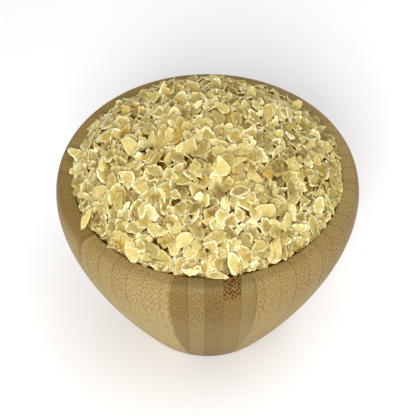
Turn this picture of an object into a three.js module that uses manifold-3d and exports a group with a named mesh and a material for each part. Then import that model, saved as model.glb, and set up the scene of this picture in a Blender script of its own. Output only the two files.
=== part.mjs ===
// A turned bamboo bowl heaped with rice flakes, built at real size in millimetres, +Z up.
// The origin is the middle of the bowl's flat underside, on the surface that it stands on.

import * as THREE from 'three';
import { mergeVertices } from 'three/addons/utils/BufferGeometryUtils.js';
import Module from 'manifold-3d';

// ---- Driving dimensions -------------------------------------------------------------------

// Bowl, as turned from one laminated blank
const BOWL_HEIGHT = 86.5;
const FOOT_RADIUS = 34.7;       // flat underside
const RIM_OUTER_RADIUS = 63.0;  // outer corner of the rim, inside the widest girth of 65
const RIM_INNER_RADIUS = 57.0;
const WALL_PULL = { radius: 74.6, height: 68.3 };  // handle that swells the wall to its girth
const FLOOR_HEIGHT = 12.0;      // thickness of the bottom
const CAVITY_FLOOR_PULL = 41.0; // radius to which the cavity's bottom stays nearly level
const CAVITY_WALL_PULL = { radius: 59.0, height: 42.0 };
const FOOT_ROUNDING = 1.6;
const RIM_ROUNDING = 1.3;
const BOWL_SEGMENTS = 64;
const WALL_STEPS = 9;
const CAVITY_STEPS = 5;

// Heap of flakes
const FIT_GAP = 0.3;            // between the heap and the bowl
const HEAP_RISE = 29.0;         // mean crown of the heap above the rim
const HEAP_EDGE_DROP = 2.0;     // the heap meets the wall this far below the rim
const FLAKE_COVER = 1.6;        // depth of the loose flakes over the packed core
const CORE_SEGMENTS = 32;
const CORE_STEPS = 4;

// Flakes: rolled rice, thin and oval, slightly dished
const FLAKE_COUNT = 300;
const FLAKE_LENGTH = { min: 6.6, max: 9.6 };
const FLAKE_SLENDERNESS = { min: 0.5, max: 0.7 };  // width over length
const FLAKE_THICKNESS = 0.75;
const FLAKE_CURL = 0.55;        // how far the long edges lie above the middle
const FLAKE_RAGGEDNESS = 0.14;  // how far a corner may leave the oval, as a share of its radius
const FLAKE_TILT = { min: 0.1, max: 0.42 };  // radians off the heap's surface
const FLAKE_MEAN_REACH = 2.6;   // from a flake's middle to its edge, on average
const FLAKE_SINK = 0.6;         // how far the lowest edge of a flake sinks into the core
const FLAKE_FIELD_RADIUS = 56.0;
const MOST_INWARD = 3;          // how far a flake may be moved from the rim before it is skipped
const RIM_CLEARANCE = 0.45;     // least room between a flake and the bowl
const FLAKE_SEED = 20461;

const GOLDEN_ANGLE = Math.PI * (3 - Math.sqrt(5));
const SAME_CORNER = 1e-3;       // corners closer than this are one

// ---- Small helpers ------------------------------------------------------------------------

// A repeatable stream of numbers from 0 to 1
function randomStream(seed) {
  let state = seed >>> 0;
  return () => {
    state = (state + 0x6d2b79f5) >>> 0;
    let mixed = Math.imul(state ^ (state >>> 15), state | 1);
    mixed ^= mixed + Math.imul(mixed ^ (mixed >>> 7), mixed | 61);
    return ((mixed ^ (mixed >>> 14)) >>> 0) / 4294967296;
  };
}

function between(range, share) {
  return range.min + (range.max - range.min) * share;
}

// Points of a rounded corner, cut back by size along both sides
function roundCorner(before, corner, after, size, steps) {
  const start = corner.clone().add(before.clone().sub(corner).setLength(size));
  const end = corner.clone().add(after.clone().sub(corner).setLength(size));
  return new THREE.QuadraticBezierCurve(start, corner, end).getPoints(steps);
}

// A solid of revolution about Z, from a profile of (radius, height) that starts and ends on it
function turned(profile, segments) {
  const geometry = new THREE.LatheGeometry(profile, segments);
  geometry.rotateX(Math.PI / 2);
  return geometry;
}

function toSolid(wasm, geometry) {
  const bare = geometry.clone();
  bare.deleteAttribute('normal');
  bare.deleteAttribute('uv');
  const merged = mergeVertices(bare, SAME_CORNER);
  const mesh = new wasm.Mesh({
    numProp: 3,
    vertProperties: new Float32Array(merged.attributes.position.array),
    triVerts: new Uint32Array(merged.index.array),
  });
  return new wasm.Manifold(mesh);
}

function toGeometry(solid) {
  const mesh = solid.getMesh();
  const geometry = new THREE.BufferGeometry();
  geometry.setAttribute('position', new THREE.BufferAttribute(mesh.vertProperties, 3));
  geometry.setIndex(new THREE.BufferAttribute(mesh.triVerts, 1));
  geometry.computeVertexNormals();
  return geometry;
}

// The largest body of a solid, so that sealed hollows are filled and loose scraps dropped
function largestBody(solid) {
  return solid.decompose().reduce((best, part) => (part.volume() > best.volume() ? part : best));
}

// ---- Bowl ---------------------------------------------------------------------------------

// The outside of the wall, from the foot up to the rim
function wallCurve() {
  const foot = new THREE.Vector2(FOOT_RADIUS, 0);
  const pull = new THREE.Vector2(WALL_PULL.radius, WALL_PULL.height);
  return new THREE.CubicBezierCurve(foot, foot, pull, new THREE.Vector2(RIM_OUTER_RADIUS, BOWL_HEIGHT));
}

// The inside of the wall, from the rim down to the middle of the floor
function cavityCurve() {
  return new THREE.CubicBezierCurve(
    new THREE.Vector2(RIM_INNER_RADIUS, BOWL_HEIGHT),
    new THREE.Vector2(CAVITY_WALL_PULL.radius, CAVITY_WALL_PULL.height),
    new THREE.Vector2(CAVITY_FLOOR_PULL, FLOOR_HEIGHT),
    new THREE.Vector2(0, FLOOR_HEIGHT),
  );
}

function bowlGeometry() {
  const wall = wallCurve().getSpacedPoints(WALL_STEPS);
  const cavity = cavityCurve().getSpacedPoints(CAVITY_STEPS);
  const axisBottom = new THREE.Vector2(0, 0);
  const profile = [
    axisBottom,
    ...roundCorner(axisBottom, wall[0], wall[1], FOOT_ROUNDING, 2),
    ...wall.slice(1, -1),
    ...roundCorner(wall[WALL_STEPS - 1], wall[WALL_STEPS], cavity[0], RIM_ROUNDING, 3),
    ...roundCorner(wall[WALL_STEPS], cavity[0], cavity[1], RIM_ROUNDING, 3),
    ...cavity.slice(1),
  ];
  return turned(profile, BOWL_SEGMENTS);
}

// ---- Heap ---------------------------------------------------------------------------------

// Mean height of the heap's surface at a distance from the axis
function heapHeight(radius) {
  const share = radius / RIM_INNER_RADIUS;
  const edge = BOWL_HEIGHT - HEAP_EDGE_DROP;
  return edge + (HEAP_RISE + HEAP_EDGE_DROP) * (1 - share * share);
}

// Upward normal of the heap's surface at a point
function heapNormal(x, y) {
  const fall = 2 * (HEAP_RISE + HEAP_EDGE_DROP) / (RIM_INNER_RADIUS * RIM_INNER_RADIUS);
  return new THREE.Vector3(fall * x, fall * y, 1).normalize();
}

// The packed flakes that fill the cavity, with a low dome under the flakes that show
function coreGeometry() {
  const inside = cavityCurve().getSpacedPoints(CAVITY_STEPS).reverse();
  const edge = BOWL_HEIGHT - HEAP_EDGE_DROP - FLAKE_COVER;
  const filled = inside
    .filter((point) => point.y < edge)
    .map((point) => new THREE.Vector2(Math.max(point.x - FIT_GAP, 0), point.y + FIT_GAP));
  const edgeRadius = RIM_INNER_RADIUS - FIT_GAP;
  const dome = [];
  for (let step = CORE_STEPS; step >= 0; step -= 1) {
    const radius = edgeRadius * step / CORE_STEPS;
    dome.push(new THREE.Vector2(radius, heapHeight(radius) - FLAKE_COVER));
  }
  return turned([...filled, ...dome], CORE_SEGMENTS);
}

// The six corners of one flake, seen from above, with the long edges between its two ends
// curled up
function flakeCorners(random) {
  const halfLength = between(FLAKE_LENGTH, random()) / 2;
  const halfWidth = halfLength * between(FLAKE_SLENDERNESS, random());
  return [0, 1, 2, 3, 4, 5].map((corner) => {
    const angle = Math.PI * corner / 3;
    const reach = 1 - FLAKE_RAGGEDNESS * random();
    const atEnd = corner % 3 === 0;
    return new THREE.Vector3(
      reach * halfLength * Math.cos(angle),
      reach * halfWidth * Math.sin(angle),
      atEnd ? 0 : FLAKE_CURL,
    );
  });
}

// A thin plate on those corners, with its two faces split into triangles alike
function flakeGeometry(corners) {
  const count = corners.length;
  const halfThick = new THREE.Vector3(0, 0, FLAKE_THICKNESS / 2);
  const upper = corners.map((corner) => corner.clone().add(halfThick));
  const lower = corners.map((corner) => corner.clone().sub(halfThick));
  const triangles = [];
  for (let corner = 1; corner < count - 1; corner += 1) {
    triangles.push(0, corner, corner + 1);
    triangles.push(count, count + corner + 1, count + corner);
  }
  for (let corner = 0; corner < count; corner += 1) {
    const next = (corner + 1) % count;
    triangles.push(corner, count + corner, count + next);
    triangles.push(corner, count + next, next);
  }
  const geometry = new THREE.BufferGeometry().setFromPoints([...upper, ...lower]);
  geometry.setIndex(triangles);
  return geometry;
}

// How one flake lies: turned about its own normal, tilted off the heap's surface, and set on
// the packed core deep enough that its lower edge is sunk in it
function flakePlace(index, inward, draw) {
  const spread = Math.sqrt((index + 0.5) / FLAKE_COUNT);
  const radius = Math.max(spread * FLAKE_FIELD_RADIUS - inward, 0);
  const x = radius * Math.cos(index * GOLDEN_ANGLE);
  const y = radius * Math.sin(index * GOLDEN_ANGLE);
  const up = new THREE.Vector3(0, 0, 1);
  const normal = heapNormal(x, y);
  const tiltAxis = new THREE.Vector3(Math.cos(draw.tiltWay), Math.sin(draw.tiltWay), 0);
  const turn = new THREE.Quaternion().setFromUnitVectors(up, normal)
    .multiply(new THREE.Quaternion().setFromAxisAngle(tiltAxis, draw.tilt))
    .multiply(new THREE.Quaternion().setFromAxisAngle(up, draw.yaw));
  const lift = FLAKE_THICKNESS / 2 + FLAKE_MEAN_REACH * Math.sin(draw.tilt) - FLAKE_SINK;
  const centre = new THREE.Vector3(x, y, heapHeight(radius) - FLAKE_COVER).addScaledVector(normal, lift);
  return new THREE.Matrix4().compose(centre, turn, new THREE.Vector3(1, 1, 1));
}

// Whether a flake would enter the bowl's wall or rim, or come too close to them
function touchesBowl(geometry) {
  const places = geometry.attributes.position;
  for (let i = 0; i < places.count; i += 1) {
    const radius = Math.hypot(places.getX(i), places.getY(i));
    const low = places.getZ(i) < BOWL_HEIGHT + RIM_CLEARANCE;
    if (low && radius > RIM_INNER_RADIUS - RIM_CLEARANCE) {
      return true;
    }
  }
  return false;
}

// The flakes that show, spread evenly on a sunflower spiral; one that would cross the rim is
// moved towards the middle, or skipped
function flakeGeometries() {
  const random = randomStream(FLAKE_SEED);
  const laid = [];
  for (let index = 0; index < FLAKE_COUNT; index += 1) {
    const corners = flakeCorners(random);
    const draw = {
      yaw: 2 * Math.PI * random(),
      tiltWay: 2 * Math.PI * random(),
      tilt: between(FLAKE_TILT, random()),
    };
    for (let inward = 0; inward <= MOST_INWARD; inward += 1) {
      const flake = flakeGeometry(corners).applyMatrix4(flakePlace(index, inward, draw));
      if (!touchesBowl(flake)) {
        laid.push(flake);
        break;
      }
    }
  }
  return laid;
}

// The core with its flakes as one body; merging the corners that meet can part a scrap from it,
// so the largest body is taken before and after
function heapGeometry(wasm) {
  const pieces = [coreGeometry(), ...flakeGeometries()].map((geometry) => toSolid(wasm, geometry));
  const joined = largestBody(pieces.reduce((sum, piece) => sum.add(piece)));
  return toGeometry(largestBody(toSolid(wasm, toGeometry(joined))));
}

// ---- The object ---------------------------------------------------------------------------

const wasm = await Module();
wasm.setup();

const bamboo = new THREE.MeshStandardMaterial({ color: 0xa08a5c, roughness: 0.5, metalness: 0 });
const riceFlake = new THREE.MeshStandardMaterial({ color: 0xd9cc98, roughness: 0.6, metalness: 0 });

const bowl = new THREE.Mesh(bowlGeometry(), bamboo);
bowl.name = 'bowl';

const riceFlakes = new THREE.Mesh(heapGeometry(wasm), riceFlake);
riceFlakes.name = 'rice_flakes';

const bowlOfRiceFlakes = new THREE.Group();
bowlOfRiceFlakes.name = 'bowl_of_rice_flakes';
bowlOfRiceFlakes.add(bowl, riceFlakes);

export default bowlOfRiceFlakes;
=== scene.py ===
"""A turned bamboo bowl heaped with rice flakes, in metres, +Z up.

The bowl is one fine lathe shape in a solid bamboo material. The heap is a packed core with a few
thousand loose flakes, which are laid one by one on those below until they reach the heap's dome.
"""

import math

import bpy
import numpy as np
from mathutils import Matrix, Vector


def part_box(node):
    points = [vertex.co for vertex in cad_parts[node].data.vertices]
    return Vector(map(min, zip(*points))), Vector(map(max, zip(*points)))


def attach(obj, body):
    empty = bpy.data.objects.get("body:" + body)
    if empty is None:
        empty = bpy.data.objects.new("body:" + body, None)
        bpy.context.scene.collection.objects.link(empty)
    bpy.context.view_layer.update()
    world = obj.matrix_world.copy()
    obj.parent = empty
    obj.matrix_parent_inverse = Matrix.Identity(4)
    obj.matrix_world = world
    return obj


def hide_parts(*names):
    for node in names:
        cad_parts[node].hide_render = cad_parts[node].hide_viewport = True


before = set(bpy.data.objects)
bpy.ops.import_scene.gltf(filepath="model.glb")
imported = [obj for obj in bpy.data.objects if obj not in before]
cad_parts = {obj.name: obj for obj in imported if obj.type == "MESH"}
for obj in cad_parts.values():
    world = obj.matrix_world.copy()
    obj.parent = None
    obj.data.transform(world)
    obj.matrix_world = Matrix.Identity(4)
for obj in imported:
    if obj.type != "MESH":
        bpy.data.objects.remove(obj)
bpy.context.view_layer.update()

# ---- Driving dimensions ----------------------------------------------------------------------

MM = 0.001
FULL_TURN = 2 * math.pi

# Bowl
BOWL_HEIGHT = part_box("bowl")[1][2]
FOOT_RADIUS = 34.7 * MM
RIM_OUTER_RADIUS = 63.0 * MM
RIM_INNER_RADIUS = 57.0 * MM
WALL_PULL = (74.6 * MM, 68.3 * MM)
FLOOR_HEIGHT = 12.0 * MM
CAVITY_FLOOR_PULL = 41.0 * MM
CAVITY_WALL_PULL = (59.0 * MM, 42.0 * MM)
FOOT_ROUNDING = 1.6 * MM
RIM_ROUNDING = 1.3 * MM
GIRTH_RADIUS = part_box("bowl")[1][0]
BOWL_COLUMNS = 240
WALL_STEPS = 56
CAVITY_STEPS = 36
FOOT_STEPS = 5
RIM_STEPS = 6

# Bamboo: ten staves that lean outwards, each of glued strips about 7 mm thick.
# Azimuth of each stave's left joint, in degrees from the front and positive to the right, and how
# pale the stave is along its fibres and on its end grain.
STAVES = (
    (-168, 0.5, 0.15),
    (-126, 0.2, 0.3),
    (-90, 0.75, 0.05),
    (-54, 0.8, 0.85),
    (-14, 0.0, 0.52),
    (17, 0.35, 0.68),
    (54, 0.35, 0.65),
    (84, 0.55, 0.68),
    (120, 0.45, 0.5),
    (156, 0.7, 0.3),
)
FRONT_STAVE = 4
STAVE_LEAN = math.radians(25)
STRIP_THICKNESS = 7.1 * MM
STRIP_OFFSET = 2.6 * MM

# Heap: a dome over the rim's inner edge
FIT_GAP = 0.3 * MM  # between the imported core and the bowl
HEAP_RISE = 29.0 * MM
HEAP_EDGE_RISE = 0.2 * MM
LOOSE_DEPTH = 5.5 * MM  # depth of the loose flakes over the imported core, at the middle
LOOSE_EDGE_DEPTH = 4.4 * MM
CORE_COLUMNS = 120
CORE_STEPS = 24
DOME_STEPS = 40
FLAKE_THICKNESS = 0.58 * MM

# Camera: straight in front, looking down
VIEW_ELEVATION = math.radians(48.04)
VIEW_DISTANCE = 8 * GIRTH_RADIUS
VIEW_TARGET_HEIGHT = 0.976 * GIRTH_RADIUS
LENS = 102.2
OBJECT_SHIFT_PIXELS = 0.4
IMAGE_PIXELS = 416


# ---- Meshes ----------------------------------------------------------------------------------


def cubic(start, pull_start, pull_end, end, steps):
    """Points of a cubic curve in the plane, ends included."""
    t = np.linspace(0, 1, steps + 1)[:, None]
    start, pull_start, pull_end, end = (np.array(p, float) for p in (start, pull_start, pull_end, end))
    return (
        (1 - t) ** 3 * start
        + 3 * (1 - t) ** 2 * t * pull_start
        + 3 * (1 - t) * t**2 * pull_end
        + t**3 * end
    )


def rounded_corner(before, corner, after, size, steps):
    """Points that round a corner, cut back by size along both sides."""
    start = corner + (before - corner) / np.linalg.norm(before - corner) * size
    end = corner + (after - corner) / np.linalg.norm(after - corner) * size
    t = np.linspace(0, 1, steps + 1)[:, None]
    return (1 - t) ** 2 * start + 2 * (1 - t) * t * corner + t**2 * end


def new_object(name, vertices, faces, material):
    """An object from arrays of vertices and of triangles or quads."""
    mesh = bpy.data.meshes.new(name)
    mesh.vertices.add(len(vertices))
    mesh.vertices.foreach_set("co", np.asarray(vertices, np.float32).ravel())
    corners = [np.asarray(f, np.int32) for f in faces]
    mesh.loops.add(sum(c.size for c in corners))
    mesh.loops.foreach_set("vertex_index", np.concatenate([c.ravel() for c in corners]))
    sizes = np.concatenate([np.full(len(c), c.shape[1]) for c in corners])
    mesh.polygons.add(len(sizes))
    starts = np.concatenate([[0], np.cumsum(sizes)[:-1]])
    mesh.polygons.foreach_set("loop_start", starts.astype(np.int32))
    mesh.update(calc_edges=True)
    mesh.validate()
    mesh.shade_smooth()
    mesh.materials.append(material)
    obj = bpy.data.objects.new(name, mesh)
    bpy.context.scene.collection.objects.link(obj)
    return obj


def lathe(name, profile, columns, material):
    """A solid of revolution about Z, from a profile that starts and ends on the axis."""
    inner = profile[1:-1]
    angles = 2 * np.pi * np.arange(columns) / columns
    rings = np.stack(
        [
            inner[:, 0, None] * np.cos(angles),
            inner[:, 0, None] * np.sin(angles),
            np.repeat(inner[:, 1, None], columns, axis=1),
        ],
        axis=-1,
    )
    ends = [[0, 0, profile[0][1]], [0, 0, profile[-1][1]]]
    vertices = np.concatenate([rings.reshape(-1, 3), ends])
    ring, column = np.meshgrid(np.arange(len(inner) - 1), np.arange(columns), indexing="ij")
    here, there = ring * columns + column, ring * columns + (column + 1) % columns
    quads = np.stack([here, there, there + columns, here + columns], axis=-1).reshape(-1, 4)
    first, last = len(vertices) - 2, len(vertices) - 1
    around = np.arange(columns)
    beside = (around + 1) % columns
    top = (len(inner) - 1) * columns
    caps = np.concatenate(
        [
            np.stack([np.full(columns, first), beside, around], axis=-1),
            np.stack([np.full(columns, last), top + around, top + beside], axis=-1),
        ]
    )
    return new_object(name, vertices, (quads, caps), material)


# ---- Shader nodes ----------------------------------------------------------------------------


class Nodes:
    """Makes the nodes of one material; a value is a number, a tuple or another node's output."""

    def __init__(self, name):
        self.material = bpy.data.materials.new(name)
        self.material.use_nodes = True
        self.tree = self.material.node_tree
        self.tree.nodes.clear()

    def put(self, socket, value):
        if isinstance(value, bpy.types.NodeSocket):
            self.tree.links.new(value, socket)
        else:
            socket.default_value = value

    def node(self, kind, settings=None, **values):
        node = self.tree.nodes.new(kind)
        for key, value in (settings or {}).items():
            setattr(node, key, value)
        for key, value in values.items():
            self.put(node.inputs[key.replace("_", " ")], value)
        return node

    def math(self, operation, *values):
        node = self.tree.nodes.new("ShaderNodeMath")
        node.operation = operation
        for socket, value in zip(node.inputs, values):
            self.put(socket, value)
        return node.outputs[0]

    def plus(self, first, second):
        return self.math("ADD", first, second)

    def minus(self, first, second):
        return self.math("SUBTRACT", first, second)

    def times(self, first, second):
        return self.math("MULTIPLY", first, second)

    def step(self, value, low, high, to_low=0.0, to_high=1.0):
        """A smooth step between two levels."""
        node = self.tree.nodes.new("ShaderNodeMapRange")
        node.interpolation_type = "SMOOTHSTEP"
        for socket, number in zip(node.inputs, (value, low, high, to_low, to_high)):
            self.put(socket, number)
        return node.outputs[0]

    def place(self):
        return self.node("ShaderNodeTexCoord").outputs["Object"]

    def attribute(self, name):
        return self.node("ShaderNodeAttribute", {"attribute_name": name}).outputs["Fac"]

    def vector(self, x, y, z=0.0):
        return self.node("ShaderNodeCombineXYZ", X=x, Y=y, Z=z).outputs[0]

    def parts(self, vector):
        return self.node("ShaderNodeSeparateXYZ", Vector=vector).outputs

    def mix(self, factor, first, second, blend="MIX"):
        node = self.tree.nodes.new("ShaderNodeMix")
        node.data_type = "RGBA"
        node.blend_type = blend
        self.put(node.inputs[0], factor)
        self.put(node.inputs[6], first)
        self.put(node.inputs[7], second)
        return node.outputs[2]

    def tinted(self, color, tint):
        return self.mix(1.0, color, tint, "MULTIPLY")

    def ramp(self, value, stops, interpolation="CONSTANT"):
        node = self.tree.nodes.new("ShaderNodeValToRGB")
        self.put(node.inputs[0], value)
        ramp = node.color_ramp
        ramp.interpolation = interpolation
        while len(ramp.elements) < len(stops):
            ramp.elements.new(1.0)
        for element, (place, color) in zip(ramp.elements, stops):
            element.position = place
            element.color = color if isinstance(color, tuple) else (color, color, color, 1)
        return node.outputs[0]

    def noise(self, at, scale, detail=2.0, roughness=0.5):
        node = self.node("ShaderNodeTexNoise", Vector=at, Scale=scale, Detail=detail, Roughness=roughness)
        return node.outputs[0]

    def cells(self, at, randomness):
        """Distance to the middle of the nearest cell, in the plane."""
        flat = {"voronoi_dimensions": "2D"}
        node = self.node("ShaderNodeTexVoronoi", flat, Vector=at, Scale=1.0, Randomness=randomness)
        return node.outputs["Distance"]

    def bump(self, strength, distance, height):
        return self.node("ShaderNodeBump", Strength=strength, Distance=distance, Height=height).outputs[0]

    def finish(self, **looks):
        """The material, with these looks on its shader."""
        shader = self.node("ShaderNodeBsdfPrincipled", **looks)
        output = self.tree.nodes.new("ShaderNodeOutputMaterial")
        self.tree.links.new(shader.outputs[0], output.inputs["Surface"])
        return self.material


def srgb(red, green, blue):
    """A linear colour from the usual 0 to 255 values."""
    levels = (red / 255, green / 255, blue / 255)
    return tuple(v / 12.92 if v <= 0.04045 else ((v + 0.055) / 1.055) ** 2.4 for v in levels) + (1,)


# ---- Bamboo ----------------------------------------------------------------------------------

# Along the fibres and across them, where oil soaks in; each for a dark and for a pale stave
BAMBOO_SIDE = (srgb(148, 122, 62), srgb(172, 151, 97))
BAMBOO_END = (srgb(131, 107, 54), srgb(161, 140, 88))
CLOUD_COLOR = srgb(150, 124, 74)
CLOUDS_A_METRE = 60.0

# Fine streaks along the fibres, which wander a little to either side
STREAK_COLOR = srgb(140, 108, 58)
STREAKS_A_METRE = 1500.0
STREAKS_A_METRE_ALONG = 40.0
WANDER = 0.8 * MM
WANDERINGS_A_METRE = 90.0

# Fibre bundles, which show as dots on end grain
BUNDLE = (srgb(66, 38, 3), srgb(94, 58, 10))
BUNDLE_SPACING = 1.15 * MM
BUNDLE_SIZE = 0.34  # as a share of the spacing
DENSE_BUNDLE_SPACING = 0.9 * MM
DENSE_BUNDLE_SIZE = 0.36
BUNDLE_CORE = 0.14
BUNDLE_DISORDER = 0.55

# Tints that the strips of the other staves take at random, and what tells one stave's from another's
STAVE_SEED = 37.0
STRIP_TONES = (
    (0.0, (0.93, 0.91, 0.86, 1)),
    (0.4, (1, 1, 1, 1)),
    (0.7, (0.96, 0.96, 0.91, 1)),
    (1.0, (1, 0.97, 0.92, 1)),
)
# Strips of the front stave from left to right: tint, strength of the dots, how dense they are, and
# strength of the glue lines, which is looked up half a strip further to the right
FRONT_STRIPS = (
    ((0.7, 0.66, 0.51), 0.9, 1.0, 0.8),
    ((0.82, 0.86, 0.87), 0.85, 1.0, 1.0),
    ((0.62, 0.59, 0.45), 0.95, 1.0, 0.3),
    ((0.73, 0.71, 0.57), 1.0, 0.8, 0.6),
    ((0.78, 0.86, 0.91), 0.85, 0.7, 0.6),
)
# Darker patch with strong dots, at the top of one strip of the front stave
PATCH_STRIP = 1
PATCH_FOOT = 79.0 * MM
PATCH_FADE = 4 * MM
PATCH_TINT = (0.9, 0.75, 0.46, 1)
PATCH_DOT_GROWTH = 0.2
PATCH_DOT_STRENGTH = 0.5

# Glue lines between strips, between staves and across one front strip: half widths of the core
# and of the whole line, and strength
GLUE_COLOR = srgb(102, 64, 26)
STRIP_LINE = (0.12 * MM, 0.45 * MM, 0.6)
BREAKS_A_METRE = 250.0  # where the lines between staves are fainter
JOINT_LINE = (0.05 * MM, 0.4 * MM, 0.45)
END_JOINT_LINE = (0.1 * MM, 0.5 * MM, 0.6)
END_JOINT_STRIP = -1
END_JOINT_HEIGHT = 41.0 * MM


def stave_looks(n, x, y):
    """The stave at a place: its middle, angles from there and to its joint, tones, whether in front."""
    first = STAVES[0][0]
    azimuth = n.math("ARCTAN2", x, n.times(y, -1.0))
    turn = n.math("FRACT", n.plus(n.math("DIVIDE", azimuth, FULL_TURN), -first / 360))
    joints = [(stave[0] - first) / 360 for stave in STAVES]
    spans = list(zip(joints, joints[1:] + [1.0]))

    def of_each(values):
        return n.ramp(turn, list(zip(joints, values)))

    middle = of_each([(low + high) / 2 for low, high in spans])
    half_width = of_each([(high - low) / 2 for low, high in spans])
    side_pale = of_each([stave[1] for stave in STAVES])
    end_pale = of_each([stave[2] for stave in STAVES])
    is_front = of_each([float(index == FRONT_STAVE) for index in range(len(STAVES))])
    angle = n.times(n.minus(turn, middle), FULL_TURN)
    to_joint = n.minus(n.times(half_width, FULL_TURN), n.math("ABSOLUTE", angle))
    return middle, angle, to_joint, side_pale, end_pale, is_front


def strip_looks(n, strip, chance, is_front):
    """Looks of the strip at a place: tint, strength and density of its dots, its glue lines."""
    share = 1 / len(FRONT_STRIPS)
    front_place = n.times(n.plus(strip, len(FRONT_STRIPS) / 2), share)

    def of_each(look, at=front_place):
        return n.ramp(at, [(share * index, looks[look]) for index, looks in enumerate(FRONT_STRIPS)])

    tints = [(share * index, looks[0] + (1,)) for index, looks in enumerate(FRONT_STRIPS)]
    tint = n.mix(is_front, n.ramp(chance, STRIP_TONES, "LINEAR"), n.ramp(front_place, tints))
    strength = n.mix(is_front, n.step(chance, 0.0, 1.0, 0.5, 0.9), of_each(1))
    dense = n.mix(is_front, n.step(chance, 0.5, 0.6), of_each(2))
    line = n.mix(is_front, chance, of_each(3, n.plus(front_place, share / 2)))
    return tint, strength, dense, line


def end_grain_share(n, x, y, radius):
    """How squarely the surface cuts the fibres: 1 on end grain, 0 along them."""
    normal_x, normal_y, normal_z = n.parts(n.node("ShaderNodeNewGeometry").outputs["Normal"])
    outward = n.plus(n.times(normal_x, x), n.times(normal_y, y))
    outward = n.math("DIVIDE", outward, n.math("MAXIMUM", radius, 1 * MM))
    up = n.times(normal_z, math.cos(STAVE_LEAN))
    return n.math("ABSOLUTE", n.plus(n.times(outward, math.sin(STAVE_LEAN)), up))


def bundle_dots(n, across, depth, dense, patch):
    """Dots of the fibre bundles, which are closer together in strips cut near the cane's skin."""
    dots = []
    size = n.plus(n.times(patch, PATCH_DOT_GROWTH), BUNDLE_SIZE)
    for spacing, reach in ((BUNDLE_SPACING, size), (DENSE_BUNDLE_SPACING, DENSE_BUNDLE_SIZE)):
        first = n.math("DIVIDE", n.plus(across, depth), math.sqrt(2) * spacing)
        second = n.math("DIVIDE", n.minus(across, depth), math.sqrt(2) * spacing)
        cells = n.cells(n.vector(first, second), BUNDLE_DISORDER)
        dots.append(n.step(cells, BUNDLE_CORE, reach, 1.0, 0.0))
    return n.plus(n.times(dots[0], n.minus(1.0, dense)), n.times(dots[1], dense))


def glue_line(n, distance, line):
    """A line that fades with the distance from it."""
    core, fade, strength = line
    return n.step(distance, core, fade, strength, 0.0)


def glue_lines(n, place, strips, to_joint, is_front, strip_strength):
    """Glue lines between strips and between staves, and the joint across one strip."""
    z = n.parts(place)[2]
    from_glue = n.times(n.math("PINGPONG", strips, 0.5), STRIP_THICKNESS)
    between_strips = n.times(glue_line(n, from_glue, STRIP_LINE), strip_strength)
    between_staves = glue_line(n, to_joint, JOINT_LINE)
    between_staves = n.times(between_staves, n.step(n.noise(place, BREAKS_A_METRE), 0.35, 0.6, 0.35, 1.0))
    on_strip = n.math("COMPARE", n.math("FLOOR", strips), float(END_JOINT_STRIP), 0.5)
    from_end_joint = n.math("ABSOLUTE", n.minus(z, END_JOINT_HEIGHT))
    end_joint = n.times(glue_line(n, from_end_joint, END_JOINT_LINE), n.times(on_strip, is_front))
    return n.math("MAXIMUM", n.math("MAXIMUM", between_strips, between_staves), end_joint)


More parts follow.
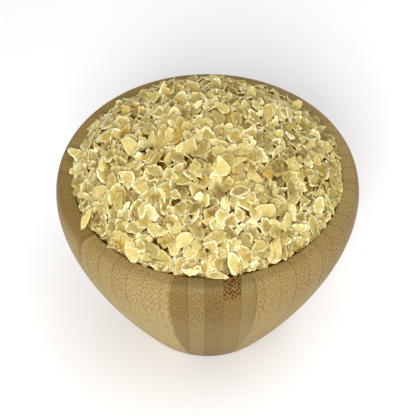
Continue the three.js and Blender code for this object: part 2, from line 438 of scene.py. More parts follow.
def bamboo_material():
    """Bamboo that is solid all through, so that the turned surface cuts its strips and fibres."""
    n = Nodes("bamboo")
    place = n.place()
    x, y, z = n.parts(place)
    radius = n.math("SQRT", n.plus(n.times(x, x), n.times(y, y)))
    middle, angle, to_joint, side_pale, end_pale, is_front = stave_looks(n, x, y)

    # Places across the strips, and across the fibres of the leaning stave
    across = n.times(radius, n.math("SINE", angle))
    outward = n.times(radius, n.math("COSINE", angle))
    depth = n.minus(n.times(outward, math.cos(STAVE_LEAN)), n.times(z, math.sin(STAVE_LEAN)))
    wander = n.times(n.minus(n.noise(place, WANDERINGS_A_METRE), 0.5), WANDER)
    grain_across, grain_depth = n.plus(across, wander), n.minus(depth, wander)

    strips = n.math("DIVIDE", n.plus(across, STRIP_OFFSET), STRIP_THICKNESS)
    strip = n.math("FLOOR", strips)
    own = n.vector(strip, n.times(middle, STAVE_SEED))
    chance = n.node("ShaderNodeTexWhiteNoise", {"noise_dimensions": "2D"}, Vector=own).outputs["Value"]
    tint, dot_strength, dense, line_strength = strip_looks(n, strip, chance, is_front)
    patch = n.times(n.math("COMPARE", strip, float(PATCH_STRIP), 0.5), is_front)
    patch = n.times(patch, n.step(z, PATCH_FOOT, PATCH_FOOT + PATCH_FADE))

    # Wood between the dots
    end_grain = end_grain_share(n, x, y, radius)
    side, end = n.mix(side_pale, *BAMBOO_SIDE), n.mix(end_pale, *BAMBOO_END)
    ground = n.tinted(n.mix(n.step(end_grain, 0.45, 0.85), side, end), tint)
    clouds = n.noise(place, CLOUDS_A_METRE, 3.0)
    ground = n.mix(n.step(clouds, 0.4, 0.75, 0.0, 0.2), ground, CLOUD_COLOR)
    streaks = n.vector(
        n.times(grain_across, STREAKS_A_METRE),
        n.times(grain_depth, STREAKS_A_METRE),
        n.times(z, STREAKS_A_METRE_ALONG),
    )
    fine = n.noise(streaks, 1.0)
    ground = n.mix(n.step(fine, 0.42, 0.72, 0.0, 0.26), ground, STREAK_COLOR)
    ground = n.mix(patch, ground, n.tinted(ground, PATCH_TINT))

    # Dots
    off_patch = n.minus(1.0, patch)
    dots = bundle_dots(n, grain_across, grain_depth, n.times(dense, off_patch), patch)
    strength = n.times(n.times(dots, n.step(end_grain, 0.02, 0.35, 0.1, 1.0)), dot_strength)
    strength = n.plus(strength, n.times(n.times(patch, dots), PATCH_DOT_STRENGTH))
    color = n.mix(strength, ground, n.mix(n.times(chance, off_patch), *BUNDLE))

    lines = glue_lines(n, place, strips, n.times(to_joint, radius), is_front, line_strength)
    relief = n.minus(0.0, n.plus(dots, n.times(fine, 0.4)))
    return n.finish(
        Base_Color=n.mix(lines, color, GLUE_COLOR),
        Roughness=n.step(fine, 0.2, 0.8, 0.5, 0.65),
        Normal=n.bump(0.2, 0.12 * MM, relief),
        Specular_IOR_Level=0.25,
    )


def wall_points(steps):
    """The outer wall's curve, from the foot up to the rim."""
    foot, rim = (FOOT_RADIUS, 0), (RIM_OUTER_RADIUS, BOWL_HEIGHT)
    return cubic(foot, foot, WALL_PULL, rim, steps)


def cavity_points(steps):
    """The inner wall's curve, from the rim down to the middle of the floor."""
    rim, middle = (RIM_INNER_RADIUS, BOWL_HEIGHT), (0, FLOOR_HEIGHT)
    return cubic(rim, CAVITY_WALL_PULL, (CAVITY_FLOOR_PULL, FLOOR_HEIGHT), middle, steps)


def make_bowl():
    """The bowl as one solid, with its foot and both edges of its rim rounded."""
    wall, cavity = wall_points(WALL_STEPS), cavity_points(CAVITY_STEPS)
    under = np.array([[0, 0], [0.5 * FOOT_RADIUS, 0]])
    profile = np.concatenate(
        [
            under,
            rounded_corner(under[1], wall[0], wall[2], FOOT_ROUNDING, FOOT_STEPS),
            wall[2:-2],
            rounded_corner(wall[-3], wall[-1], cavity[0], RIM_ROUNDING, RIM_STEPS),
            rounded_corner(wall[-1], cavity[0], cavity[2], RIM_ROUNDING, RIM_STEPS),
            cavity[2:],
        ]
    )
    bowl = lathe("bowl_wood", profile, BOWL_COLUMNS, bamboo_material())
    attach(bowl, "root")
    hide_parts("bowl")


# ---- Shapes of the flakes --------------------------------------------------------------------

SHAPES_OF_A_KIND = 16
RING_SHARES = (0.5, 0.94, 1.0)  # where the rings of a flake's mesh lie, from its middle to its edge
# A flake thins from here outwards, over this share of it and by this share of its thickness
THINS_FROM = 0.8
THINS_OVER = 0.2
EDGE_THINNING = 0.4

# Outline: from almond to oval, narrower at one end, with waves, breaks and bites
CORNER_DISORDER = 0.3
ROUNDNESS = (1.6, 2.5)
MOST_TAPER = 0.3
WAVINESS = 0.045
BREAK_REACH = (0.3, 0.85)  # from the middle, in half lengths
BITE_DEPTH = (0.1, 0.4)
BITE_WIDTH = (0.12, 0.4)  # in radians

# Curl of a flake 8 mm long, in mm: its cup and roll are drawn from gamma distributions of this
# shape and these scales, its twist from a normal one; the frill is as high on any flake
CURL_SHAPE = 2.0
CUP = 0.22
ROLL = 0.14
TWIST = 0.22
FRILL = (0.08, 0.3)

# Kinds of flake: length range in mm, slenderness, raggedness of the edge, how many bites and
# straight breaks at most, how crooked, corners of the outline, and the share of all loose flakes
WHOLE = dict(bites=1, breaks=1, crook=0.25, corners=26)
SMALL = dict(bites=1, breaks=2, corners=14)
KINDS = {
    "pale_flakes": dict(WHOLE, length=(8.4, 10.6), slender=(0.5, 0.66), ragged=0.045, share=0.28),
    "tan_flakes": dict(
        WHOLE, length=(8.0, 10.2), slender=(0.48, 0.68), ragged=0.055, bites=2, breaks=2, share=0.25
    ),
    "broken_flakes": dict(
        WHOLE, length=(5.6, 9.2), slender=(0.52, 0.8), ragged=0.07, bites=3, breaks=4, share=0.26
    ),
    "golden_flakes": dict(WHOLE, length=(6.0, 9.0), slender=(0.45, 0.62), ragged=0.05, share=0.03),
    "white_flakes": dict(
        WHOLE, length=(5.0, 8.4), slender=(0.5, 0.7), ragged=0.075, bites=3, breaks=3, crook=0.3, share=0.06
    ),
    "slivers": dict(
        WHOLE, length=(8.4, 11.4), slender=(0.28, 0.38), ragged=0.035, breaks=0, crook=0.5, share=0.05
    ),
    "shaded_under_flakes": dict(
        SMALL, length=(6.5, 9.0), slender=(0.55, 0.75), ragged=0.04, crook=0.25, share=0.0
    ),
    "crumbs": dict(SMALL, length=(2.4, 4.6), slender=(0.5, 0.95), ragged=0.06, crook=0.2, share=0.07),
}


def flake_outline(rng, kind):
    """Corners of a flake's outline: an uneven oval or almond with bites, breaks and a ragged edge."""
    half_length = rng.uniform(*kind["length"]) / 2 * MM
    half_width = half_length * rng.uniform(*kind["slender"])
    count = kind["corners"]
    disorder = rng.uniform(-CORNER_DISORDER, CORNER_DISORDER, count)
    angle = 2 * np.pi * (np.arange(count) + disorder) / count
    roundness = rng.uniform(*ROUNDNESS)
    width = half_width * (1 - rng.uniform(0.0, MOST_TAPER) * np.cos(angle))
    across = np.abs(np.cos(angle) / half_length) ** roundness + np.abs(np.sin(angle) / width) ** roundness
    reach = across ** (-1 / roundness)
    for wave in (2, 3, 4):
        reach *= 1 + rng.normal(0, WAVINESS) * np.cos(wave * angle + rng.uniform(0, 2 * np.pi))
    for _ in range(rng.integers(0, kind["breaks"] + 1)):
        toward = np.cos(angle - rng.uniform(0, 2 * np.pi))
        straight = rng.uniform(*BREAK_REACH) * half_length / np.maximum(toward, 0.05)
        reach = np.minimum(reach, straight)
    for _ in range(rng.integers(0, kind["bites"] + 1)):
        away = np.angle(np.exp(1j * (angle - rng.uniform(0, 2 * np.pi))))
        reach *= 1 - rng.uniform(*BITE_DEPTH) * np.exp(-((away / rng.uniform(*BITE_WIDTH)) ** 2))
    reach *= 1 + rng.normal(0, kind["ragged"], count)
    outline = np.stack([reach * np.cos(angle), reach * np.sin(angle)], axis=-1)
    return outline - outline.mean(axis=0)


def flake_shape(rng, kind):
    """A curled flake about its own middle: its mesh, what its material reads, and how it rests."""
    outline = flake_outline(rng, kind)
    size = np.abs(outline).max(axis=0)
    scale = size[0] / (4 * MM)
    cup = rng.choice([-1, 1]) * rng.gamma(CURL_SHAPE, CUP) * MM * scale
    roll = rng.choice([-1, 1]) * rng.gamma(CURL_SHAPE, ROLL) * MM * scale
    twist = rng.normal(0, TWIST) * MM * scale
    crook = rng.normal(0, kind["crook"]) * size[1]
    frill = rng.uniform(*FRILL) * MM
    folds = rng.integers(2, 6)
    phase = rng.uniform(0, 2 * np.pi)

    def surface(xy, side, share):
        """Places on the upper (1) or lower (-1) face, at a share of the way to the edge."""
        u, v = xy[:, 0] / size[0], xy[:, 1] / size[1]
        lift = cup * u**2 + roll * v**2 + twist * u * v
        lift += frill * (u**2 + v**2) * np.sin(folds * np.arctan2(v, u) + phase)
        thinning = EDGE_THINNING * max(0.0, (share - THINS_FROM) / THINS_OVER)
        half = FLAKE_THICKNESS / 2 * (1 - thinning)
        return np.column_stack([xy[:, 0], xy[:, 1] + crook * (u**2 - 0.4), lift + side * half])

    count = len(outline)
    rings, edge = [], []
    for side in (1, -1):
        rings.append(surface(np.zeros((1, 2)), side, 0.0))
        edge.append([0.0])
        for share in RING_SHARES:
            rings.append(surface(outline * share, side, share))
            edge.append(np.full(count, share))
    return {
        "vertices": np.concatenate(rings),
        "triangles": flake_triangles(count),
        "edge": np.concatenate(edge),
        "under": np.repeat([0.0, 1.0], 1 + len(RING_SHARES) * count),
        "probe": probe_of(outline, surface),
        "length": 2 * size[0],
        "half_width": size[1],
    }


def flake_triangles(count):
    """Triangles of a flake: a fan and rings above, the same below, and a band along the edge."""
    here = np.arange(count)
    there = (here + 1) % count
    face = [np.stack([np.zeros(count, int), 1 + here, 1 + there], axis=-1)]
    for ring in range(len(RING_SHARES) - 1):
        a, b = 1 + ring * count + here, 1 + ring * count + there
        face += [np.stack([a, a + count, b + count], axis=-1), np.stack([a, b + count, b], axis=-1)]
    face = np.concatenate(face)
    under = 1 + len(RING_SHARES) * count
    a, b = under - count + here, under - count + there
    band = [np.stack([a, a + under, b + under], axis=-1), np.stack([a, b + under, b], axis=-1)]
    return np.concatenate([face, face[:, ::-1] + under, *band])


def probe_of(outline, surface):
    """Points spread over a flake's lower and upper faces, to feel what lies below."""
    spacing = 0.9 * FIELD_CELL
    grid = [np.arange(-h, h + spacing, spacing) for h in np.abs(outline).max(axis=0)]
    points = np.stack(np.meshgrid(*grid, indexing="ij"), axis=-1).reshape(-1, 2)
    around = np.arctan2(outline[:, 1], outline[:, 0])
    order = np.argsort(around)
    angle = np.arctan2(points[:, 1], points[:, 0])
    reach = np.interp(angle, around[order], np.hypot(*outline[order].T), period=2 * np.pi)
    points = points[np.hypot(*points.T) < reach]
    return surface(points, -1, 0.5), surface(points, 1, 0.5)


# ---- Laying the flakes -----------------------------------------------------------------------

HEAP_SEED = 7
FIELD_CELL = 0.35 * MM  # of the height field that the flakes are laid on
FIELD_REACH = 64.0 * MM
RIM_MARGIN = 0.1 * MM  # kept to the rim, inwards and upwards
INSIDE_MARGIN = 0.4 * MM  # along the wall, where no flake is begun
RESTING = 0.01 * MM  # how far a flake may sink into what it rests on
MOST_TRIALS = 40

# The surface that the loose flakes fill: the dome with low swells, lower by the back wall
HEAP_WAVES = 9
WAVE_LENGTHS = (9, 30)  # in mm
SWELL = 0.5 * MM
BACK_DROP = 2.0 * MM
WALL_NEARNESS = 8  # the higher, the closer to the wall its effects stay
LIMIT_OVER_RIM = 0.8 * MM  # where the dome is lower, tops are measured from this level instead
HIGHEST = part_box("rice_flakes")[1][2] + 2.6 * MM
MOST_OVER_DOME = 1.6 * MM
LESS_OVER_BACK = 0.85  # share of this that the back wall takes away

# Flakes in rings on the core, below the loose ones; by the wall they lie along it
UNDER_SPACING = 4.0 * MM
UNDER_FROM_WALL = 2.4 * MM
UNDER_ALONG_WALL = 50 * MM
UNDER_LIFT = (0.2, 1.1)  # of their middles over the core, in mm
UNDER_TILT = 0.12
UNDER_SCATTER = 1  # to either side of their ring, in mm
UNDER_YAW = 0.3

# How loose flakes lie: turned in part to face the front, and some wedged on edge between others
CLEAR = 94  # percentage of a flake that stays above what lies there
WEDGED_IN = 16  # less of it, for one that is turned or leans much
FACING_SLOPE = (0.0, 0.9)
MOST_TURNED = 0.85
LESS_TURNED_BEHIND = 0.75
LEANING_SHARE = 0.28
LEANING_SLOPES = (0.3, 1.1)
LESS_LEANING_BEHIND = 0.7
POINTING = 0.8  # how strongly flakes point to the front; 0 is not at all
ROOM_BY_WALL = 0.8  # of a flake's half width
LEFT_OVER_RIM = 0.7  # chance that a flake at the back wall keeps no such room
MOST_OVER_RIM = (0.3, 0.5)  # share of a flake that may lie over the rim, at the front and the back

# Rounds of laying: loose flakes where the heap is low, pieces tucked into pits, flakes by the wall
ROUNDS = 90
CELLS_A_ROUND = 90
LOW = 0.4 * MM
FEWEST_LOW_CELLS = 300
MOST_FLAKES = 3200
WALL_BAND = 2.5 * MM
WALL_CRUMBS = 0.4  # chance that a piece in that band is a crumb whatever the kinds' shares
PIT_ROUNDS = 5
PITS_A_ROUND = 60
PIT_DEPTH = 3.0 * MM
CLEAR_IN_PIT = 50
WALL_ROUNDS = 8
WALL_CELLS_A_ROUND = 40
WALL_PIT_DEPTH = 0.9 * MM
CLEAR_BY_WALL = 60
YAW_BY_WALL = 0.35  # spread of the angle between such a flake and the wall
EDGE_BY_WALL = (-0.4, 0.6)  # highest level of its lower edge over the rim, in mm
EDGE_BELOW = 0.7  # how far that edge is below its middle, in half widths

# Single flakes that lie over the rim: kind, azimuth from the front, distance from the axis, yaw and
# how far they are turned to face the front
RIM_FLAKES = (
    ("white_flakes", math.radians(-6.8), 57.0 * MM, math.radians(-12), 0.0),
    ("slivers", math.radians(-59.5), 57.4 * MM, math.radians(52), 0.6),
    ("slivers", math.radians(3.8), 57.6 * MM, math.radians(-6), 0.0),
)


def heap_height(radius):
    """Mean height of the heap's surface at a distance from the axis."""
    share = radius / RIM_INNER_RADIUS
    return BOWL_HEIGHT + HEAP_EDGE_RISE + (HEAP_RISE - HEAP_EDGE_RISE) * (1 - share * share)


def dome_slope(at):
    """Slopes of that surface at a place."""
    return -2 * (HEAP_RISE - HEAP_EDGE_RISE) / RIM_INNER_RADIUS**2 * at


def rim_height(radius):
    """Height of the rim's top, which is rounded along its inner edge."""
    share = np.clip((radius - RIM_INNER_RADIUS) / RIM_ROUNDING, 0, 1)
    return BOWL_HEIGHT - RIM_ROUNDING * (1 - np.sqrt(share)) ** 2


def core_height(radius):
    """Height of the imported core's surface at a distance from the axis."""
    share = radius / RIM_INNER_RADIUS
    return heap_height(radius) - LOOSE_DEPTH + (LOOSE_DEPTH - LOOSE_EDGE_DEPTH) * share**4


def near_wall(radius):
    """How near the wall a place is: 1 there, and next to 0 over most of the heap."""
    return np.minimum(radius / RIM_INNER_RADIUS, 1) ** WALL_NEARNESS


def toward_back(y, radius):
    """How far round to the back a place is: 0 in front, 1 behind."""
    return 0.5 + 0.5 * y / radius


def unit(vector):
    return vector / np.linalg.norm(vector)


def axes_on(slope, yaw):
    """Three axes as rows, the third square to a slope, turned about it by yaw."""
    normal = unit(np.array([-slope[0], -slope[1], 1.0]))
    side = unit(np.cross((0.0, 1.0, 0.0), normal))
    ahead = np.cross(normal, side)
    first = side * math.cos(yaw) + ahead * math.sin(yaw)
    return np.stack([first, np.cross(normal, first), normal])


def holds_middle(corners):
    """Whether a triangle has the origin inside it."""
    a, b, c = corners
    turns = (a[0] * b[1] - a[1] * b[0], b[0] * c[1] - b[1] * c[0], c[0] * a[1] - c[1] * a[0])
    return min(turns) > 1e-12 or max(turns) < -1e-12


def rest_on_three(places, heights, slope):
    """Slopes of the lowest plane that clears every height: it rests on three round the middle."""
    ways = np.array([[0.0, 1.0], [0.87, -0.5], [-0.87, -0.5]])
    three = [int(np.argmax(places @ way)) for way in ways]
    for _ in range(MOST_TRIALS):
        if not holds_middle(places[three]):
            return slope
        plane = np.linalg.solve(np.column_stack([places[three], np.ones(3)]), heights[three])
        over = heights - places @ plane[:2] - plane[2]
        worst = int(np.argmax(over))
        if over[worst] < RESTING:
            break
        trials = [three[:index] + [worst] + three[index + 1 :] for index in range(3)]
        three = next((trial for trial in trials if holds_middle(places[trial])), [worst] * 3)
    return plane[:2]


class Heap:
    """Flakes laid one by one, and the height of whatever lies uppermost, on a square grid."""

    def __init__(self, rng, shapes):
        self.rng = rng
        self.shapes = shapes
        self.placed = []
        self.count = int(2 * FIELD_REACH / FIELD_CELL)
        steps = (np.arange(self.count) + 0.5) * FIELD_CELL - FIELD_REACH
        self.x, self.y = np.meshgrid(steps, steps, indexing="ij")
        self.radius = np.hypot(self.x, self.y)
        self.rim = self.radius > RIM_INNER_RADIUS - RIM_MARGIN
        self.inside = self.radius < RIM_INNER_RADIUS - INSIDE_MARGIN
        self.by_wall = self.inside & (self.radius > RIM_INNER_RADIUS - WALL_BAND)
        self.target = heap_height(self.radius) + self.swells()
        self.target -= BACK_DROP * toward_back(self.y, self.radius) * near_wall(self.radius)
        self.limit = np.maximum(self.target, BOWL_HEIGHT + LIMIT_OVER_RIM)
        self.height = np.where(self.rim, rim_height(self.radius), core_height(self.radius))

    def swells(self):
        """Low waves at random, which fade towards the wall."""
        total = np.zeros_like(self.radius)
        for _ in range(HEAP_WAVES):
            way, length = self.rng.uniform(0, 2 * np.pi), self.rng.uniform(*WAVE_LENGTHS) * MM
            along = self.x * math.cos(way) + self.y * math.sin(way)
            total += SWELL * np.cos(2 * np.pi * along / length + self.rng.uniform(0, 2 * np.pi))
        return total * (1 - near_wall(self.radius))

    def blurred(self, reach):
        """Mean height within a square that reaches this far each way."""
        width = int(reach / FIELD_CELL)
        total = self.height
        for axis in (0, 1):
            total = sum(np.roll(total, step, axis) for step in range(-width, width + 1)) / (2 * width + 1)
        return total

    def cells(self, points):
        """The cells that points lie over."""
        index = ((points[:, :2] + FIELD_REACH) / FIELD_CELL).astype(int)
        index = np.clip(index, 0, self.count - 1)
        return index[:, 0], index[:, 1]

    def some(self, chosen, most):
        """Some of the chosen cells, at random."""
        cells = np.argwhere(chosen)
        return map(tuple, cells[self.rng.choice(len(cells), min(most, len(cells)), replace=False)])

    def lay(self, probe, at, yaw, turned=0.0, lean=(0.0, 0.0), clear=CLEAR):
        """Lays a flake down at a place, turns and leans it: its axes, middle, cells and tops.

        The last value is the share of it that lies over the rim.
        """
        lower, upper = probe
        slope = dome_slope(at)
        for _ in range(3):
            axes = axes_on(slope, yaw)
            points = lower @ axes
            cells = self.cells(points + [at[0], at[1], 0])
            heights = self.height[cells] - points[:, 2] + points[:, :2] @ slope
            slope = rest_on_three(points[:, :2], heights, slope)
        change = turned * (np.array(FACING_SLOPE) - slope) + lean
        axes = axes_on(slope + change, yaw)
        points = lower @ axes
        cells = self.cells(points + [at[0], at[1], 0])
        gap = self.height[cells] - points[:, 2]
        rest = np.percentile(gap, clear - WEDGED_IN * min(1.0, np.hypot(*change)))
        on_rim = self.rim[cells]
        if on_rim.any():
            rest = max(rest, gap[on_rim].max() + RIM_MARGIN)
        middle = np.array([at[0], at[1], rest])
        return axes, middle, cells, (upper @ axes)[:, 2] + rest, on_rim.mean()

    def keep(self, name, index, axes, middle, cells, tops):
        """Keeps a flake where it was laid, and raises the grid to its top."""
        np.maximum.at(self.height, cells, tops)
        self.placed.append((name, index, axes, middle))

    def lay_loose(self, name, cell, clear=CLEAR):
        """Tries to lay a flake of one kind over a cell, and keeps it unless it sticks out."""
        rng = self.rng
        at = np.array([self.x[cell], self.y[cell]])
        index = rng.integers(SHAPES_OF_A_KIND)
        shape = self.shapes[name][index]
        back = toward_back(at[1], np.hypot(*at))
        out = np.hypot(*at) / RIM_INNER_RADIUS
        at_back_wall = back * near_wall(np.hypot(*at))
        room = RIM_INNER_RADIUS - ROOM_BY_WALL * shape["half_width"]
        if np.hypot(*at) > room and rng.random() > LEFT_OVER_RIM * back:
            at *= room / np.hypot(*at)
        lean = np.zeros(2)
        if rng.random() < LEANING_SHARE:
            way, steep = rng.uniform(0, 2 * np.pi), rng.uniform(*LEANING_SLOPES)
            steep *= 1 - LESS_LEANING_BEHIND * at_back_wall
            lean = steep * np.array([math.cos(way), math.sin(way)])
        yaw = np.pi / 2 + rng.vonmises(0, POINTING) / 2
        turned = rng.uniform(0, MOST_TURNED) * (1 - LESS_TURNED_BEHIND * back * out)
        axes, middle, cells, tops, over_rim = self.lay(shape["probe"], at, yaw, turned, lean, clear)
        most_over_rim = MOST_OVER_RIM[0] + (MOST_OVER_RIM[1] - MOST_OVER_RIM[0]) * back
        over_dome = np.mean(tops - self.limit[cells])
        most_over_dome = MOST_OVER_DOME * (1 - LESS_OVER_BACK * at_back_wall)
        too_high = over_dome > most_over_dome or tops.max() > HIGHEST
        if not too_high and over_rim <= most_over_rim:
            self.keep(name, index, axes, middle, cells, tops)

    def lay_by_wall(self, cell):
        """Tucks a flake in along the wall, its lower edge no higher than about the rim."""
        rng = self.rng
        name = rng.choice(("tan_flakes", "pale_flakes"))
        index = rng.integers(SHAPES_OF_A_KIND)
        shape = self.shapes[name][index]
        at = np.array([self.x[cell], self.y[cell]])
        at *= (RIM_INNER_RADIUS - ROOM_BY_WALL * shape["half_width"]) / np.hypot(*at)
        yaw = math.atan2(at[1], at[0]) + np.pi / 2 + rng.normal(0, YAW_BY_WALL)
        axes, middle, cells, tops, _ = self.lay(shape["probe"], at, yaw, clear=CLEAR_BY_WALL)
        top = BOWL_HEIGHT + rng.uniform(*EDGE_BY_WALL) * MM
        lift = min(0.0, top - (middle[2] - EDGE_BELOW * shape["half_width"]))
        self.keep(name, index, axes, middle + [0, 0, lift], cells, tops + lift)

    def lay_under_flakes(self):
        """Lays flakes in rings on the core, to show between the loose ones."""
        rng = self.rng
        outermost = RIM_INNER_RADIUS - UNDER_FROM_WALL
        radius = outermost
        while radius > 0:
            count = max(1, int(2 * np.pi * radius / UNDER_SPACING))
            for azimuth in 2 * np.pi * (np.arange(count) + rng.uniform(-0.3, 0.3, count)) / count:
                scatter = rng.uniform(-UNDER_SCATTER, UNDER_SCATTER) * MM
                reach = min(radius + scatter, outermost)
                at = reach * np.array([math.cos(azimuth), math.sin(azimuth)])
                if reach > UNDER_ALONG_WALL:
                    yaw = azimuth + np.pi / 2 + rng.normal(0, UNDER_YAW)
                else:
                    yaw = rng.uniform(0, 2 * np.pi)
                height = core_height(reach) + rng.uniform(*UNDER_LIFT) * MM
                index = rng.integers(SHAPES_OF_A_KIND)
                axes = axes_on(dome_slope(at) + rng.normal(0, UNDER_TILT, 2), yaw)
                self.placed.append(("shaded_under_flakes", index, axes, np.array([*at, height])))
            radius -= UNDER_SPACING

    def lay_loose_flakes(self):
        """Lays flakes where the heap is still low, until it reaches its dome."""
        names = [name for name in KINDS if KINDS[name]["share"] > 0]
        chances = np.array([KINDS[name]["share"] for name in names])
        for _ in range(ROUNDS):
            low = self.inside & (self.height < self.target - LOW)
            if low.sum() < FEWEST_LOW_CELLS or len(self.placed) >= MOST_FLAKES:
                break
            for cell in self.some(low, CELLS_A_ROUND):
                if self.height[cell] > self.target[cell] - LOW:
                    continue
                crumb = self.by_wall[cell] and self.rng.random() < WALL_CRUMBS
                name = "crumbs" if crumb else names[self.rng.choice(len(names), p=chances)]
                self.lay_loose(name, cell)

    def fill_pits(self):
        """Tucks small pieces into pits between the flakes, and then flakes into those by the wall."""
        for _ in range(PIT_ROUNDS):
            deep = self.inside & ~self.by_wall & (self.height < self.target - PIT_DEPTH)
            for cell in self.some(deep, PITS_A_ROUND):
                self.lay_loose(self.rng.choice(("crumbs", "broken_flakes")), cell, CLEAR_IN_PIT)
        for _ in range(WALL_ROUNDS):
            deep = self.by_wall & (self.height < self.target - WALL_PIT_DEPTH)
            for cell in self.some(deep, WALL_CELLS_A_ROUND):
                if self.height[cell] < self.target[cell] - WALL_PIT_DEPTH:
                    self.lay_by_wall(cell)

    def lay_over_rim(self):
        """Lays the single flakes over the rim, each the most slender of its kind."""
        for name, azimuth, distance, yaw, turned in RIM_FLAKES:
            at = distance * np.array([math.sin(azimuth), -math.cos(azimuth)])
            slender = [shape["length"] / shape["half_width"] for shape in self.shapes[name]]
            index = int(np.argmax(slender))
            axes, middle, cells, tops, _ = self.lay(self.shapes[name][index]["probe"], at, yaw, turned)
            self.keep(name, index, axes, middle, cells, tops)


# ---- Looks of the flakes ---------------------------------------------------------------------

# Colours of each kind: pale and deep tones, edge and gloss, and where it is duller, its shine
FLAKE_COLORS = {
    "pale_flakes": (srgb(213, 198, 126), srgb(165, 139, 55), srgb(246, 244, 203), 0.34),
    "tan_flakes": (srgb(170, 151, 84), srgb(121, 97, 32), srgb(226, 216, 157), 0.34),
    "broken_flakes": (srgb(200, 183, 108), srgb(148, 122, 42), srgb(240, 235, 186), 0.38),
    "golden_flakes": (srgb(192, 162, 76), srgb(166, 130, 44), srgb(224, 207, 140), 0.34),
    "white_flakes": (srgb(230, 224, 172), srgb(204, 190, 116), srgb(246, 245, 216), 0.4),
    "slivers": (srgb(203, 190, 118), srgb(164, 141, 58), srgb(240, 235, 190), 0.34),
    # The flakes laid on the core are darker and more golden than the loose ones: painted shade for their
    # depth
    "shaded_under_flakes": (srgb(174, 145, 64), srgb(126, 95, 27), srgb(197, 172, 96), 0.5, 0.1),
    "crumbs": (srgb(208, 194, 126), srgb(158, 134, 52), srgb(236, 230, 178), 0.42),
}
# The core is a darker, deeper gold than the loose flakes: painted shade for the flakes deep in the heap
CORE_SHADE_COLORS = (srgb(156, 118, 36), srgb(112, 78, 16), srgb(156, 118, 36), 0.6, 0.1)
STAIN = srgb(206, 174, 92)
# Painted shade: what is left of the colour on a flake's lower face, and on places that lie deep between the
# flakes, where shade falls
UNDERSIDE_SHADE_TINT = (0.94, 0.8, 0.48, 1)
CREVICE_SHADE_TINT = (0.52, 0.31, 0.02, 1)
# The painted crevice shade begins this far below the heap around a place and is full this much further down
CREVICE_SHADE_FROM = 0.15 * MM
CREVICE_SHADE_OVER = 2.0 * MM
SHADE_SURROUNDINGS = 3.0 * MM  # how far around a place the heap's mean height counts

# Patterns in the flakes, each in patches a metre
MOTTLES = 700.0
WAVES = 330.0
GRAINS = 1100.0


def flake_material(name, pale, deep, white, gloss, shine=0.3):
    """Flaked rice: paler and opaque along its edges, faintly mottled, with light passing through, and with
    shade painted on its lower face and deep between other flakes.
    """
    n = Nodes(name)
    tone, edge, sunk, under = (n.attribute(mark) for mark in ("tone", "edge", "sunk", "under"))
    place = n.place()
    mottle = n.noise(place, MOTTLES, 3.0)
    waves = n.noise(place, WAVES, 2.0)
    patchy = n.plus(n.times(mottle, 1.4), n.times(waves, 0.6))
    color = n.mix(n.step(n.plus(tone, patchy), 0.8, 2.2), deep, pale)
    color = n.mix(n.step(waves, 0.52, 0.75, 0.0, 0.5), color, STAIN)

    # White along the edge, from faint to strong on one flake or another
    chalky = n.step(n.math("FRACT", n.times(tone, 7.3)), 0.2, 1.0, 0.35, 1.2)
    chalk = n.times(n.step(edge, 0.5, 0.97), n.step(mottle, 0.35, 0.62, 0.2, 1.0))
    color = n.mix(n.times(chalk, chalky), color, white)

    # Painted shade on the lower faces: a darker, warmer tint for the light bounced under a flake
    color = n.mix(under, color, n.tinted(color, UNDERSIDE_SHADE_TINT))
    # Painted shade deep between the flakes: darker and more golden the deeper a place lies
    color = n.mix(sunk, color, n.tinted(color, CREVICE_SHADE_TINT))
    relief = n.plus(n.times(waves, 2.5), n.noise(place, GRAINS, 3.0, 0.6))
    return n.finish(
        Base_Color=color,
        Roughness=n.step(mottle, 0.3, 0.7, gloss, gloss + 0.15),
        Normal=n.bump(0.75, 0.25 * MM, relief),
        Specular_IOR_Level=shine,
        Subsurface_Weight=0.25,
        Subsurface_Radius=(1.0, 0.85, 0.6),
        Subsurface_Scale=1.0 * MM,
    )


def make_kind(heap, around, name):
    """One piece of all the flakes of a kind, with what its material reads at each vertex."""
    vertices, triangles = [], []
    marks = {"tone": [], "edge": [], "under": [], "sunk": []}
    start = 0
    for kind, index, axes, middle in heap.placed:
        if kind != name:
            continue
        shape = heap.shapes[name][index]
        points = shape["vertices"] @ axes + middle
        cells = heap.cells(points)
        # How far a vertex lies below the flakes over it or the heap around it, which sets the painted
        # crevice shade
        depth = np.maximum(heap.height[cells], around[cells]) - points[:, 2]
        vertices.append(points)
        triangles.append(shape["triangles"] + start)
        marks["tone"].append(np.full(len(points), heap.rng.random()))
        marks["edge"].append(shape["edge"])
        marks["under"].append(shape["under"])
        marks["sunk"].append(np.clip((depth - CREVICE_SHADE_FROM) / CREVICE_SHADE_OVER, 0, 1))
        start += len(points)
    material = flake_material(name, *FLAKE_COLORS[name])
    obj = new_object(name, np.concatenate(vertices), (np.concatenate(triangles),), material)
    for mark, values in marks.items():
        layer = obj.data.attributes.new(mark, "FLOAT", "POINT")
        layer.data.foreach_set("value", np.concatenate(values).astype(np.float32))
    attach(obj, "root")


def make_flakes():
    """All the loose flakes: their shapes, the heap they make and one piece for each kind."""
    rng = np.random.default_rng(HEAP_SEED)
    shapes = {
        name: [flake_shape(rng, kind) for _ in range(SHAPES_OF_A_KIND)] for name, kind in KINDS.items()
    }
    heap = Heap(rng, shapes)
    heap.lay_under_flakes()
    heap.lay_loose_flakes()
    heap.fill_pits()
    heap.lay_over_rim()
    around = heap.blurred(SHADE_SURROUNDINGS)
    for name in KINDS:
        make_kind(heap, around, name)


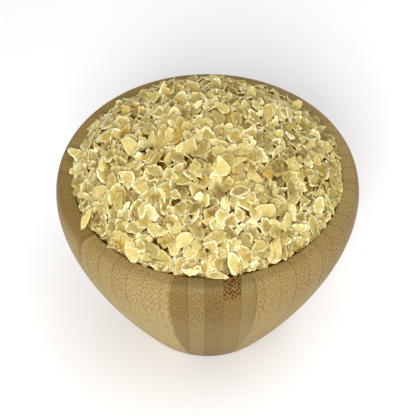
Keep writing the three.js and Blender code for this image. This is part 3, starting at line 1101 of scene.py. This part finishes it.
def make_core():
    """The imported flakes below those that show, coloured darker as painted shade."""
    inside = cavity_points(CORE_STEPS)[::-1]
    edge = core_height(RIM_INNER_RADIUS)
    filled = inside[inside[:, 1] < edge] + [-FIT_GAP, FIT_GAP]
    filled[:, 0] = np.maximum(filled[:, 0], 0)
    radius = np.linspace(RIM_INNER_RADIUS - FIT_GAP, 0, DOME_STEPS)
    dome = np.column_stack([radius, core_height(radius)])
    material = flake_material("shaded_packed_flakes", *CORE_SHADE_COLORS)
    core = lathe("packed_core", np.concatenate([filled, dome]), CORE_COLUMNS, material)
    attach(core, "root")
    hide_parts("rice_flakes")


# ---- Stage -----------------------------------------------------------------------------------

FLOOR_REACH = 3.0
STUDIO_COLOR = (1, 0.985, 0.95, 1)
STUDIO_STRENGTH = 0.44
# Lamps: place, size and power
LAMPS = {
    "key": ((-0.1, -0.95, 0.75), 0.4, 11.5),
    "top": ((0.2, -0.1, 1.2), 0.7, 3.6),
    "back": ((0.25, 0.9, 0.5), 0.6, 2.0),
}


def make_camera():
    """The camera, aimed at the axis from in front and above."""
    camera = bpy.data.cameras.new("camera")
    camera.lens = LENS
    camera.shift_x = OBJECT_SHIFT_PIXELS / IMAGE_PIXELS
    obj = bpy.data.objects.new("camera", camera)
    obj.location = (
        0,
        -VIEW_DISTANCE * math.cos(VIEW_ELEVATION),
        VIEW_TARGET_HEIGHT + VIEW_DISTANCE * math.sin(VIEW_ELEVATION),
    )
    obj.rotation_euler = (math.pi / 2 - VIEW_ELEVATION, 0, 0)
    bpy.context.scene.collection.objects.link(obj)
    bpy.context.scene.camera = obj


def make_lamp(name, place, size, power):
    """A square soft lamp that faces the heap."""
    lamp = bpy.data.lights.new(name, "AREA")
    lamp.size = size
    lamp.energy = power
    obj = bpy.data.objects.new(name, lamp)
    obj.location = place
    to_heap = Vector((0, 0, BOWL_HEIGHT)) - Vector(place)
    obj.rotation_euler = to_heap.to_track_quat("-Z", "Y").to_euler()
    bpy.context.scene.collection.objects.link(obj)


def floor_material():
    """A dull near-white."""
    n = Nodes("floor")
    place = n.place()
    fine = n.noise(place, 400.0, 2.0)
    return n.finish(
        Base_Color=n.mix(n.noise(place, 3.0), srgb(246, 246, 248), srgb(250, 250, 252)),
        Roughness=n.step(fine, 0.3, 0.7, 0.85, 0.95),
        Normal=n.bump(0.1, 0.05 * MM, fine),
    )


def make_stage():
    """A floor, an even pale sky and the lamps."""
    size = FLOOR_REACH
    corners = [(-size, -size, 0), (size, -size, 0), (size, size, 0), (-size, size, 0)]
    floor = new_object("floor", corners, ([(0, 1, 2, 3)],), floor_material())
    world = bpy.data.worlds.new("studio")
    world.use_nodes = True
    background = world.node_tree.nodes["Background"]
    background.inputs["Color"].default_value = STUDIO_COLOR
    background.inputs["Strength"].default_value = STUDIO_STRENGTH
    bpy.context.scene.world = world
    for name, (place, size, power) in LAMPS.items():
        make_lamp(name, place, size, power)
    bpy.context.scene.view_settings.view_transform = "Standard"


make_camera()
make_stage()
make_bowl()
make_core()
make_flakes()
